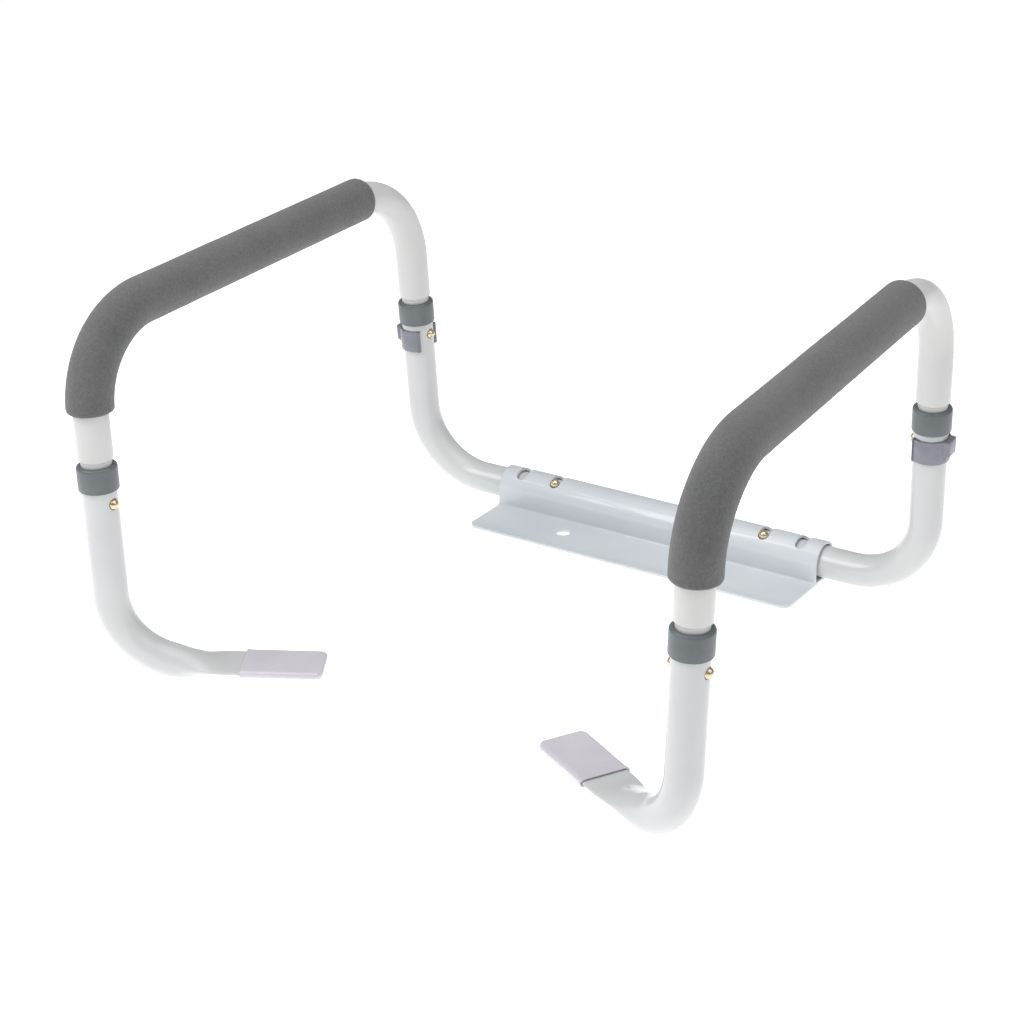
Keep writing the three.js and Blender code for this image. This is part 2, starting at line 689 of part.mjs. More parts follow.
function sideFrame(name, side) {
  const line = centreLine(side);
  const group = new THREE.Group();
  const still = new THREE.Matrix4();
  const add = (part, geometry, finish, matrix = still) => {
    const mesh = named(`${name}_${part}`, geometry, finish);
    mesh.applyMatrix4(matrix);
    group.add(mesh);
  };

  const legJoint = (leg, height, downwards) => {
    const collarTop = line.where(leg, 'z', height);
    return { collarTop, button: collarTop + downwards * BUTTON_BELOW_COLLAR };
  };
  const rear = legJoint(REAR_LEG, REAR_COLLAR_TOP, -1);
  const front = legJoint(FRONT_LEG, FRONT_COLLAR_TOP, 1);

  add('rear_tube', geometryOf(rearTube(side, line, rear)), 'powderCoat');
  add('arm_tube', geometryOf(armTube(side, line, rear, front)), 'enamel');
  add('front_tube', geometryOf(frontTube(side, line, front)), 'powderCoat');
  add('tip_cover', geometryOf(tipCover()), 'coverPlastic', tipFrame(line));

  const gripStart = line.where(ARM, 'y', GRIP_REAR_END) + GRIP_SHIFT[name];
  const gripEnd = line.where(FRONT_LEG, 'z', GRIP_FRONT_END) + GRIP_SHIFT[name];
  add('foam_grip', sweptTube(line, gripStart, gripEnd, GRIP_RADIUS, SLIP_BORE), 'foam');

  for (const [end, joint, downwards] of [['rear', rear, -1], ['front', front, 1]]) {
    const at = (below) => seatOn(line, joint.collarTop + downwards * below, side);
    add(`${end}_collar`, collar(), 'greyPlastic', at(COLLAR_HEIGHT));
    const reach = LEG_BUTTON_BASE - TOUCH - STRIP / 2;
    add(`${end}_leg_spring`, leafSpring(reach, -reach), 'springSteel', at(BUTTON_BELOW_COLLAR));
    for (const [facing, turn] of [['outer', -Math.PI / 2], ['inner', Math.PI / 2]]) {
      const dome = buttonGeometry(LEG_BUTTON_BASE, TUBE_RADIUS).rotateZ(turn);
      add(`${end}_${facing}_button`, dome, 'brass', at(BUTTON_BELOW_COLLAR));
    }
  }
  const clipBottom = rear.collarTop - CLIP_TOP_BELOW_COLLAR - CLIP_HEIGHT;
  add('rear_clip', clip(), 'clipPlastic', seatOn(line, clipBottom, side));

  const outwards = new THREE.Vector3(side, 0, 0);
  const inner = new THREE.Matrix4().makeRotationFromQuaternion(
    new THREE.Quaternion().setFromUnitVectors(new THREE.Vector3(0, 1, 0), outwards),
  );
  add('tube_plug', tubePlug(), 'plugPlastic', inner.setPosition(side * TUBE_INNER_END, 0, 0));

  const direction = buttonDirection();
  const reach = WIDTH_BUTTON_BASE - TOUCH - STRIP / 2;
  const back = -(TUBE_BORE - 2 * TOUCH - STRIP / 2);
  const sleeveSeat = new THREE.Matrix4()
    .makeBasis(direction, outwards.clone().cross(direction), outwards)
    .setPosition(side * SLOT_NEAR, 0, 0);
  add('width_spring', leafSpring(reach, back), 'springSteel', sleeveSeat);
  const button = buttonGeometry(WIDTH_BUTTON_BASE, SLEEVE_RADIUS).rotateZ(-Math.PI / 2);
  add('width_button', button, 'brass', sleeveSeat);
  return group;
}

const rail = new THREE.Group();
rail.position.z = AXIS_HEIGHT;
rail.add(mountingBracket());
rail.add(sideFrame('left', -1));
rail.add(sideFrame('right', 1));
rail.updateMatrixWorld(true);

export default rail;
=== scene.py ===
import json
import math

import bmesh
import bpy
import numpy as np
from mathutils import Matrix, Vector, noise


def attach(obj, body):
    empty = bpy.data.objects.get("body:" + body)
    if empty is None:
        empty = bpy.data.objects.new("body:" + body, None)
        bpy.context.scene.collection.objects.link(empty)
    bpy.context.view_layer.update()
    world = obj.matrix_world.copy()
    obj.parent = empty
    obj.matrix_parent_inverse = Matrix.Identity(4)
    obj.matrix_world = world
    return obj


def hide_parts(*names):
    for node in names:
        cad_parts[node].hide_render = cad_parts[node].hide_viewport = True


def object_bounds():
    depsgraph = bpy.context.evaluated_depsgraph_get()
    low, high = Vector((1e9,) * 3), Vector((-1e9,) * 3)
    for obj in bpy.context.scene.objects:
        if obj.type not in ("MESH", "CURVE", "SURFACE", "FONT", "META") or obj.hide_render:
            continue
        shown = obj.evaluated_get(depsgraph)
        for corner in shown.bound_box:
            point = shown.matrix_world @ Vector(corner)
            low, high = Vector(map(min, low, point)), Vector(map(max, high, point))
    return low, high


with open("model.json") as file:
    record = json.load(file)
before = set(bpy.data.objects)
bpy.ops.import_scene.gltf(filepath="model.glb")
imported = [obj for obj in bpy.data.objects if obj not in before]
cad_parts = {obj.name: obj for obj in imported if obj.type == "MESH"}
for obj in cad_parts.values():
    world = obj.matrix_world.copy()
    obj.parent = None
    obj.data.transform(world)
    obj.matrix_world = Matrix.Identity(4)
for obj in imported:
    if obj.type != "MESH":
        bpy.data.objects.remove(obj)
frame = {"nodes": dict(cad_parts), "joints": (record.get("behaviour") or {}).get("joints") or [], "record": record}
cad_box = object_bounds()


# ---- stage ----
# A pale studio floor under the lowest tube, the camera, three broad soft lights, and two small lamps
# that put small highlights on the bends. The floor gives off some light of its own, as a lit sweep does,
# so that thin shadows wash out.

MM = 0.001
FLOOR_SIZE = 12
FLOOR_GAP = 0.4 * MM


def aim(thing, azimuth, elevation):
    """Points a camera or light at the object from an azimuth (0 is the front) and a height above level."""
    a, e = math.radians(azimuth), math.radians(elevation)
    back = Vector((math.sin(a) * math.cos(e), -math.cos(a) * math.cos(e), math.sin(e)))
    thing.rotation_mode = "QUATERNION"
    thing.rotation_quaternion = back.to_track_quat("Z", "Y")
    return back


camera = bpy.data.objects.new("camera", bpy.data.cameras.new("camera"))
bpy.context.scene.collection.objects.link(camera)
camera.data.sensor_width = 36
camera.data.lens = 79.45
camera.location = (0.79103, -1.47375, 0.75836)
aim(camera, 32.35, 23.78)
bpy.context.scene.camera = camera

middle = (cad_box[0] + cad_box[1]) / 2
bpy.ops.mesh.primitive_plane_add(size=FLOOR_SIZE, location=(middle.x, middle.y, cad_box[0].z - FLOOR_GAP))
floor = bpy.context.object
floor.name = "studio_floor"

floor_paper = bpy.data.materials.new("floor_paper")
floor_paper.use_nodes = True
paper = floor_paper.node_tree.nodes["Principled BSDF"]
paper.inputs["Base Color"].default_value = (0.9, 0.9, 0.9, 1)
paper.inputs["Roughness"].default_value = 1
paper.inputs["Specular IOR Level"].default_value = 0
paper.inputs["Emission Color"].default_value = (1, 1, 1, 1)
paper.inputs["Emission Strength"].default_value = 0.62
floor.data.materials.append(floor_paper)

world = bpy.data.worlds.new("studio_air")
world.use_nodes = True
air = world.node_tree.nodes["Background"]
air.inputs["Color"].default_value = (1, 1, 1, 1)
air.inputs["Strength"].default_value = 0.37
bpy.context.scene.world = world
bpy.context.scene.view_settings.view_transform = "Standard"

# name, azimuth, elevation, distance in metres, size in metres, watts
LIGHTS = [
    ("overhead", 20, 80, 1.5, 1.6, 12),
    ("front_left", -40, 42, 1.7, 0.9, 13),
    ("front_right", 75, 35, 1.8, 0.7, 2),
    ("upper_lamp", 83, 46, 1.6, 0.07, 1.0),
    ("lower_lamp", 94, 37, 1.6, 0.07, 1.0),
]
for name, azimuth, elevation, distance, size, power in LIGHTS:
    light = bpy.data.objects.new(name, bpy.data.lights.new(name, "AREA"))
    bpy.context.scene.collection.objects.link(light)
    light.data.size = size
    light.data.energy = power
    light.location = middle + aim(light, azimuth, elevation) * distance


# ---- mounting bracket ----
# One length of 2.3 mm steel sheet, folded round into a sleeve and out into a flat flange in front of it.
# Four curved slots take the tubes' snap buttons, and the seat bolts go through the two flange holes.

BRACKET_LENGTH = 290
SHEET = 2.3
SLEEVE_BORE = 13.7
SLEEVE_RADIUS = SLEEVE_BORE + SHEET
PLATE_TOP = -13.4
FLANGE_FRONT = -64.5
FLANGE_CORNER = 9
BOLT_X = 70
BOLT_Y = -36.5
BOLT_HOLE = 6
SLOT_NEAR = 95.5
WIDTH_STEP = 32
SLOT_RADIUS = 4.4
SLOT_FRONT = 120
SLOT_REAR = 60
OVERSHOOT = 2
SHARP_EDGE = 35
AXIS_HEIGHT = next(j for j in frame["joints"] if j["name"] == "left_tilt")["pos_m"][2] / MM

record = frame["record"]
BODY_OF = {n: body for body, nodes in record["behaviour"]["bodies"].items() for n in nodes}


def stand_for(piece, node):
    """The piece is shown in a CAD node's place, on that node's body."""
    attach(piece, BODY_OF[node])
    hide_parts(node)


def piece_from(name, bm, finish, sharp=SHARP_EDGE):
    """A shown piece from points in millimetres about the tube axis, smooth but for its sharp edges."""
    mesh = bpy.data.meshes.new(name)
    into_frame = Matrix.Translation((0, 0, AXIS_HEIGHT * MM)) @ Matrix.Scale(MM, 4)
    bmesh.ops.transform(bm, matrix=into_frame, verts=bm.verts)
    bmesh.ops.recalc_face_normals(bm, faces=bm.faces)
    bm.to_mesh(mesh)
    bm.free()
    mesh.shade_smooth()
    mesh.set_sharp_from_angle(angle=math.radians(sharp))
    piece = bpy.data.objects.new(name, mesh)
    bpy.context.scene.collection.objects.link(piece)
    if finish:
        mesh.materials.append(finish)
    return piece


def shell(rings, joined=False):
    """A closed skin through rings of points, with its last ring joined to its first, or with capped ends."""
    bm = bmesh.new()
    rows = [[bm.verts.new(p) for p in ring] for ring in rings]
    count = len(rows[0])
    pairs = list(zip(rows, rows[1:]))
    if joined:
        pairs.append((rows[-1], rows[0]))
    for low, high in pairs:
        for i in range(count):
            k = (i + 1) % count
            bm.faces.new((low[i], low[k], high[k], high[i]))
    if not joined:
        bm.faces.new(list(reversed(rows[0])))
        bm.faces.new(rows[-1])
    return bm


def arc(centre, radius, start, end, steps):
    """Points of a round stretch, with its angles in degrees."""
    angles = np.radians(np.linspace(start, end, steps + 1))
    return [(centre[0] + radius * math.cos(a), centre[1] + radius * math.sin(a)) for a in angles]


def inset(outline, depth):
    """A closed outline moved in by a depth; it runs anticlockwise, and a clockwise one moves out."""
    points = np.array(outline)
    before, after = points - np.roll(points, 1, axis=0), np.roll(points, -1, axis=0) - points
    before /= np.linalg.norm(before, axis=1)[:, None]
    after /= np.linalg.norm(after, axis=1)[:, None]
    normal = np.column_stack((-(before + after)[:, 1], (before + after)[:, 0]))
    normal /= (1 + (before * after).sum(1))[:, None]
    return points + depth * normal


def cut(piece, *cutters, how="DIFFERENCE"):
    """Cuts the cutters out of a piece, or joins them to it, for good."""
    for cutter in cutters:
        step = piece.modifiers.new("cut", "BOOLEAN")
        step.operation = how
        step.solver = "EXACT"
        step.object = cutter
        result = piece.evaluated_get(bpy.context.evaluated_depsgraph_get())
        piece.data = bpy.data.meshes.new_from_object(result)
        piece.modifiers.clear()
        bpy.data.objects.remove(cutter)
    piece.data.shade_smooth()
    piece.data.set_sharp_from_angle(angle=math.radians(SHARP_EDGE))
    return piece


class Socket:
    """A shader socket that works in sums: each operation adds a Math node to its own material."""

    def __init__(self, finish, socket):
        self.finish = finish
        self.socket = socket

    def sum_of(self, operation, first, second):
        return self.finish.node("Math", {"operation": operation}, {0: first, 1: second})

    def __add__(self, other):
        return self.sum_of("ADD", self, other)

    def __radd__(self, other):
        return self.sum_of("ADD", other, self)

    def __sub__(self, other):
        return self.sum_of("SUBTRACT", self, other)

    def __rsub__(self, other):
        return self.sum_of("SUBTRACT", other, self)

    def __mul__(self, other):
        return self.sum_of("MULTIPLY", self, other)

    def __rmul__(self, other):
        return self.sum_of("MULTIPLY", other, self)


class Finish:
    """A material in the making: its nodes, and the Principled shader that they feed."""

    def __init__(self, name, **constants):
        self.material = bpy.data.materials.new(name)
        self.material.use_nodes = True
        self.tree = self.material.node_tree
        self.shader = self.tree.nodes["Principled BSDF"]
        for socket, value in constants.items():
            self.shader.inputs[socket.replace("_", " ")].default_value = value

    def node(self, kind, settings=None, sockets=None, output=0):
        made = self.tree.nodes.new("ShaderNode" + kind)
        for setting, value in (settings or {}).items():
            if setting == "stops":
                self.set_stops(made.color_ramp.elements, value)
            else:
                setattr(made, setting, value)
        for key, value in (sockets or {}).items():
            if isinstance(value, Socket):
                self.tree.links.new(value.socket, made.inputs[key])
            else:
                made.inputs[key].default_value = value
        return Socket(self, made.outputs[output])

    def set_stops(self, elements, stops):
        while len(elements) < len(stops):
            elements.new(1)
        for element, (place, colour) in zip(elements, stops):
            element.position = place
            element.color = (*colour, 1)

    def place(self):
        return self.node("TexCoord", output="Object")

    def grain(self, scale, detail=2, roughness=0.5):
        """Even noise at so many features to the metre."""
        sockets = {"Vector": self.place(), "Scale": scale, "Detail": detail, "Roughness": roughness}
        return self.node("TexNoise", None, sockets, "Fac")

    def shades(self, amount, dark, light):
        """A colour between two, by an amount from 0 to 1."""
        return self.node("ValToRGB", {"stops": [(0.3, dark), (0.7, light)]}, {"Fac": amount}, "Color")

    def feed(self, **inputs):
        for name, value in inputs.items():
            self.tree.links.new(value.socket, self.shader.inputs[name.replace("_", " ")])

    def bump(self, height, depth):
        """Relief of so many millimetres."""
        sockets = {"Height": height, "Distance": depth * MM, "Strength": 1.0}
        self.feed(Normal=self.node("Bump", None, sockets, "Normal"))


def powder_coat(name, dark, light):
    """White powder coat: a slight orange peel, and gloss that is a little uneven."""
    finish = Finish(name, Specular_IOR_Level=0.35, Coat_Roughness=0.035)
    cloud = finish.grain(14, 3)
    peel = finish.grain(620, 2)
    fleck = finish.grain(2600, 1)
    finish.feed(
        Base_Color=finish.shades(0.8 * cloud + 0.2 * fleck, dark, light),
        Roughness=0.24 + 0.14 * cloud,
        Coat_Weight=0.35 + 0.3 * cloud,
    )
    finish.bump(peel + 0.25 * fleck, 0.012)
    return finish.material


bracket_coat = powder_coat("bracket_powder_coat", (0.565, 0.603, 0.64), (0.635, 0.67, 0.7))


def bracket_outline():
    heel, fillet, edge = 4, 2.5, 0.6
    low = PLATE_TOP - SHEET
    return [
        *arc((FLANGE_FRONT + edge, low + edge), edge, 180, 270, 4),
        *arc((SLEEVE_RADIUS - heel, low + heel), heel, -90, 0, 8),
        *arc((0, 0), SLEEVE_RADIUS, 0, 180, 40),
        *arc((-SLEEVE_RADIUS - fillet, PLATE_TOP + fillet), fillet, 0, -90, 8),
        *arc((FLANGE_FRONT + edge, PLATE_TOP - edge), edge, 90, 176, 4),
    ]


def hollow_outline():
    inner = 1.7
    reach, low = SLEEVE_BORE - inner, PLATE_TOP + inner
    return [
        *arc((-reach, low), inner, 270, 180, 5),
        *arc((0, 0), SLEEVE_BORE, 180, 0, 36),
        *arc((reach, low), inner, 0, -90, 5),
    ]


def bracket_sheet():
    """The folded section drawn out along X, with its two ends eased."""
    ease = 0.35
    half = BRACKET_LENGTH / 2
    places = [(-half, ease), (-half + 0.3 * ease, 0.3 * ease), (-half + ease, 0)]
    places += [(-x, depth) for x, depth in reversed(places)]
    bm = bmesh.new()
    ends = [[], []]
    for outline in (bracket_outline(), hollow_outline()):
        rows = []
        for x, depth in places:
            rows.append([bm.verts.new((x, y, z)) for y, z in inset(outline, depth)])
        for low, high in zip(rows, rows[1:]):
            for i in range(len(low)):
                k = (i + 1) % len(low)
                bm.faces.new((low[i], low[k], high[k], high[i]))
        for end, row in zip(ends, (rows[0], rows[-1])):
            end += [bm.edges.get((row[i], row[(i + 1) % len(row)])) for i in range(len(row))]
    for end in ends:
        bmesh.ops.triangle_fill(bm, edges=end, use_beauty=True)
    return bm


def slot_cutter(x):
    """A rounded slot bent round the sleeve, from the button's place at rest to its place at full tilt."""
    radius = (SLEEVE_BORE + SLEEVE_RADIUS) / 2
    front, rear = math.radians(SLOT_FRONT), math.radians(SLOT_REAR)
    round_end = arc((0, 0), SLOT_RADIUS, 2, 90, 9)
    places = [(front + past / radius, half) for past, half in round_end]
    places += [(angle, SLOT_RADIUS) for angle in np.linspace(front, rear, 25)[1:-1]]
    places += [(rear - past / radius, half) for past, half in reversed(round_end)]
    near, far = SLEEVE_BORE - OVERSHOOT, SLEEVE_RADIUS + OVERSHOOT
    rings = []
    for angle, half in places:
        section = [(x - half, near), (x + half, near), (x + half, far), (x - half, far)]
        rings.append([(px, r * math.cos(angle), r * math.sin(angle)) for px, r in section])
    return piece_from("cutter", shell(rings), None)


def round_cutter(matrix, radius, length, sides=48):
    """A cylinder along local Z, centred on its matrix."""
    rings = []
    for end in (-length / 2, length / 2):
        rings.append([matrix @ Vector((px, py, end)) for px, py in arc((0, 0), radius, 0, 360, sides)[:-1]])
    return piece_from("cutter", shell(rings), None)


def corner_cutter(side):
    """Takes the square corner off the flange's front."""
    x, y, r = BRACKET_LENGTH / 2, FLANGE_FRONT, FLANGE_CORNER
    outline = [(x + 1, y - 1), (x + 1, y + r), *arc((x - r, y + r), r, 0, -90, 14), (x - r, y - 1)]
    rings = [[(side * px, py, z) for px, py in outline] for z in (PLATE_TOP - 2 * SHEET, PLATE_TOP + SHEET)]
    return piece_from("cutter", shell(rings), None)


bracket = piece_from("bracket_sheet", bracket_sheet(), bracket_coat)
for side in (-1, 1):
    bolt = Matrix.Translation((side * BOLT_X, BOLT_Y, PLATE_TOP))
    slots = [slot_cutter(side * SLOT_NEAR), slot_cutter(side * (SLOT_NEAR + WIDTH_STEP))]
    cut(bracket, *slots, round_cutter(bolt, BOLT_HOLE, 4 * SHEET), corner_cutter(side))
stand_for(bracket, "mounting_bracket")


# ---- rear tubes ----
# Lower tubes of 25.4 mm steel: each runs out of the bracket's sleeve and bends up into the rear leg.
# They are powder coated like the bracket, and drilled for the width button and the rear leg's buttons.

TUBE = 12.7
WALL = 1.2
BORE = TUBE - WALL
TUBE_INNER_END = 45
REAR_FOOT = ((226, 0, 0), 57.5)
REAR_SHOULDER = ((230, -23, 255.5), 69)
FRONT_SHOULDER = ((239, -397, 236.5), 64)
FRONT_FOOT = ((231.5, -393.5, -18), 55)
TIP_ANGLE = 29
TIP_REACH = 149
BEND_STEP = math.radians(3)
ROUND = 64
BUTTON_HOLE = 4.3
REAR_COLLAR_TOP = 150.5
FRONT_COLLAR_TOP = 136
COLLAR_LIP = 4
BUTTON_BELOW_COLLAR = 28.3
BUTTON_ANGLE = 60
REAR_LEG, ARM, FRONT_LEG = 1, 2, 3  # straights of the centre line, counted from the bracket's as 0

tube_coat = powder_coat("tube_powder_coat", (0.524, 0.54, 0.547), (0.588, 0.6, 0.598))


class BentLine:
    """The centre line of a side frame: straights joined by round bends, with a frame that never twists."""

    def __init__(self, corners):
        self.parts = []
        self.length = 0
        start = corners[0][0]
        for (before, _), (point, bend), (after, _) in zip(corners, corners[1:], corners[2:]):
            along = (point - before).normalized()
            onward = (after - point).normalized()
            turn = along.angle(onward)
            setback = bend * math.tan(turn / 2)
            self.add(start, along, (point - along * setback - start).length)
            self.add(point - along * setback, along, bend * turn, bend, along.cross(onward).normalized())
            start = point + onward * setback
        along = (corners[-1][0] - start).normalized()
        self.add(start, along, (corners[-1][0] - start).length)
        self.level_tip()

    def add(self, start, along, length, bend=None, axle=None):
        self.parts.append((self.length, start, along, length, bend, axle))
        self.length += length

    def level_tip(self):
        """Starts the frame so that at the tip it lies level."""
        normal = Vector((0, 0, 1)).cross(self.parts[-1][2]).normalized()
        self.normals = []
        for start, _, _, length, bend, axle in reversed(self.parts):
            if bend:
                normal = Matrix.Rotation(-length / bend, 3, axle) @ normal
            self.normals.insert(0, normal)

    def frame(self, distance):
        """Point, direction, and the level and upright of the section, at a distance along the line."""
        index = max(i for i, part in enumerate(self.parts) if part[0] <= distance + 1e-6 or i == 0)
        start, point, along, length, bend, axle = self.parts[index]
        run = distance - start
        if not bend:
            normal = self.normals[index]
            return point + along * run, along, normal, along.cross(normal)
        angle = run / bend
        turned = Matrix.Rotation(angle, 3, axle)
        inwards = axle.cross(along)
        place = point + along * (bend * math.sin(angle)) + inwards * (bend * (1 - math.cos(angle)))
        along, normal = turned @ along, turned @ self.normals[index]
        return place, along, normal, along.cross(normal)

    def where(self, straight, axis, value):
        """How far along the line a straight reaches a value of x, y or z."""
        start, point, along, *_ = self.parts[2 * straight]
        return start + (value - point[axis]) / along[axis]

    def stations(self, start, end, step=None):
        """Distances that a swept skin needs: steps round each bend, and even ones if asked."""
        places = {start, end}
        for begin, _, _, length, bend, _ in self.parts:
            if bend:
                count = math.ceil(length / bend / BEND_STEP)
                places |= {begin + length * i / count for i in range(count + 1)}
        if step:
            places |= set(np.arange(start, end, step))
        near = 0.2
        return [p for p in sorted(places) if start + near < p < end - near or p in (start, end)]


def turned_along(line, profile, sides=ROUND):
    """A skin of round rings along a line, from a closed profile of (distance, radius)."""
    angles = np.linspace(0, 2 * math.pi, sides, endpoint=False)
    rings = []
    for distance, radius in profile:
        point, _, level, upright = line.frame(distance)
        across, up = level * radius, upright * radius
        rings.append([point + across * math.cos(a) + up * math.sin(a) for a in angles])
    return shell(rings, joined=True)


def tube_profile(outer, inner, ease=0.3):
    """A tube's closed profile from its outer and inner (distance, radius) runs, with eased ends."""
    (a, ra), (b, rb) = outer[0], outer[-1]
    outside = [(a, ra - ease), (a + 0.3 * ease, ra - 0.3 * ease), (a + ease, ra), *outer[1:-1]]
    outside += [(b - ease, rb), (b - 0.3 * ease, rb - 0.3 * ease), (b, rb - ease)]
    return outside + list(reversed(inner))


def plain_tube(line, start, end):
    places = line.stations(start, end)
    return tube_profile([(p, TUBE) for p in places], [(p, BORE) for p in places])


def seat_on(line, distance, side):
    """Where a piece sits on a leg: local Z up the tube and local X outwards, in millimetres."""
    point, along, _, _ = line.frame(distance)
    up = along if along.z > 0 else -along
    out = Vector((side, 0, 0))
    out = (out - up * out.dot(up)).normalized()
    across = up.cross(out)
    return Matrix.Translation(point) @ Matrix((out, across, up)).transposed().to_4x4()


TURN_OUT = Matrix.Rotation(math.radians(90), 4, "Y")


class Side:
    """One side's centre line and the places of its joints, in millimetres about the tube axis."""

    def __init__(self, name, sign):
        self.name = name
        self.sign = sign

        def mirrored(corner):
            point, bend = corner
            return Vector((sign * point[0], *point[1:])), bend

        foot = mirrored(FRONT_FOOT)
        angle = math.radians(TIP_ANGLE)
        tip = foot[0] + Vector((-sign * math.cos(angle), math.sin(angle), 0)) * TIP_REACH
        start = (Vector((sign * TUBE_INNER_END, 0, 0)), 0)
        bends = [mirrored(REAR_FOOT), mirrored(REAR_SHOULDER), mirrored(FRONT_SHOULDER), foot]
        self.line = BentLine([start, *bends, (tip, 0)])
        self.rear = self.line.where(REAR_LEG, 2, REAR_COLLAR_TOP)
        self.front = self.line.where(FRONT_LEG, 2, FRONT_COLLAR_TOP)
        self.foot = self.line.length - TIP_REACH

    def below(self, end, amount):
        """The seat so far below the rear or front collar's top."""
        distance = self.rear - amount if end == "rear" else self.front + amount
        return seat_on(self.line, distance, self.sign)

    def width_seat(self):
        """The snap button's seat in the sleeve: local X out through the slot."""
        angle = math.radians(BUTTON_ANGLE)
        out = Vector((0, -math.cos(angle), math.sin(angle)))
        up = Vector((self.sign, 0, 0))
        turn = Matrix((out, up.cross(out), up)).transposed().to_4x4()
        return Matrix.Translation((self.sign * SLOT_NEAR, 0, 0)) @ turn


SIDES = [Side("left", -1), Side("right", 1)]

for s in SIDES:
    skin = turned_along(s.line, plain_tube(s.line, 0, s.rear - COLLAR_LIP))
    tube = piece_from(f"{s.name}_rear_lower_tube", skin, tube_coat)
    leg_hole = round_cutter(s.below("rear", BUTTON_BELOW_COLLAR) @ TURN_OUT, BUTTON_HOLE, 3 * TUBE)
    width_hole = s.width_seat() @ Matrix.Translation((TUBE, 0, 0)) @ TURN_OUT
    cut(tube, leg_hole, round_cutter(width_hole, BUTTON_HOLE, TUBE))
    stand_for(tube, f"{s.name}_rear_tube")


# ---- arm tubes ----
# Upper tubes in a warmer gloss enamel: one length bent over both shoulders, the part a hand leans on.
# Each end is swaged down behind a soft shoulder, and slips into the lower tube under its collar.

NECK = 11.1
NECK_SHOWING = 3
SHOULDER = 2.2
NECK_BELOW_COLLAR = 50


def enamel():
    """Warm white gloss enamel over steel: smooth, with a faint flow in it."""
    finish = Finish("white_enamel", Specular_IOR_Level=0.35, Coat_Roughness=0.06)
    cloud = finish.grain(11, 2)
    flow = finish.grain(190, 2)
    fleck = finish.grain(2400, 1)
    finish.feed(
        Base_Color=finish.shades(0.8 * cloud + 0.2 * fleck, (0.55, 0.55, 0.548), (0.6, 0.6, 0.593)),
        Roughness=0.27 + 0.12 * cloud,
        Coat_Weight=0.1 + 0.25 * cloud,
    )
    finish.bump(flow + 0.1 * fleck, 0.04)
    return finish.material


white_enamel = enamel()


def swaged_profile(line, start, end):
    """The arm tube between its shoulders, with the necks that reach down from each."""
    reach = NECK_SHOWING + NECK_BELOW_COLLAR
    steps = 6
    rise = [(i / steps, (1 - math.cos(math.pi * i / steps)) / 2) for i in range(steps + 1)]
    outer = [(start - reach, NECK)]
    outer += [(start + SHOULDER * t, NECK + (TUBE - NECK) * k) for t, k in rise]
    outer += [(p, TUBE) for p in line.stations(start + SHOULDER, end - SHOULDER)[1:-1]]
    outer += [(end - SHOULDER * t, NECK + (TUBE - NECK) * k) for t, k in reversed(rise)]
    outer.append((end + reach, NECK))
    inner = [(p, r - WALL) for p, r in outer]
    return tube_profile(outer, inner)


for s in SIDES:
    skin = turned_along(s.line, swaged_profile(s.line, s.rear + NECK_SHOWING, s.front - NECK_SHOWING))
    tube = piece_from(f"{s.name}_upper_arm_tube", skin, white_enamel)
    holes = [s.below(end, BUTTON_BELOW_COLLAR) @ TURN_OUT for end in ("rear", "front")]
    cut(tube, *[round_cutter(hole, BUTTON_HOLE, 3 * TUBE) for hole in holes])
    stand_for(tube, f"{s.name}_arm_tube")


# ---- front tubes ----
# Lower tubes at the front: each bends in under the leg and is pressed flat into a blade at its end,
# which rests on the rim of the bowl. They are powder coated like the bracket.

BLADE_START = 38
BLADE_FLAT = 84
BLADE_WIDTH = 35.4
BLADE_THICKNESS = 2.6
BLADE_CORNER = 5


def pressed_section(flatness, width=BLADE_WIDTH, thickness=BLADE_THICKNESS, sides=ROUND):
    """A section of the tube as it is pressed flat: a circle at 0, and a flat oval at 1."""
    cap = thickness / 2
    straight = width / 2 - cap
    points = []
    for i in range(sides):
        a = 2 * math.pi * i / sides
        run = (4 * straight + 2 * math.pi * cap) * (i / sides)
        flat = flat_oval(run, straight, cap)
        circle = (TUBE * math.cos(a), TUBE * math.sin(a))
        points.append(tuple((1 - flatness) * r + flatness * f for r, f in zip(circle, flat)))
    return points


def flat_oval(run, straight, cap):
    """The point so far round a flat oval, from its outermost point at +X and anticlockwise."""
    quarter = math.pi * cap / 2
    stretches = [
        (quarter, lambda t: (straight + cap * math.cos(t / cap), cap * math.sin(t / cap))),
        (2 * straight, lambda t: (straight - t, cap)),
        (2 * quarter, lambda t: (-straight - cap * math.sin(t / cap), cap * math.cos(t / cap))),
        (2 * straight, lambda t: (t - straight, -cap)),
        (quarter, lambda t: (straight + cap * math.sin(t / cap), -cap * math.cos(t / cap))),
    ]
    for length, place in stretches[:-1]:
        if run <= length:
            return place(run)
        run -= length
    return stretches[-1][1](run)


def smooth(t):
    t = min(max(t, 0), 1)
    return t * t * (3 - 2 * t)


def corner_width(width, corner, left):
    """The width of a blade so far from its end, where its corners are round."""
    if left >= corner:
        return width
    return width - 2 * (corner - math.sqrt(max(corner**2 - (corner - left) ** 2, 0)))


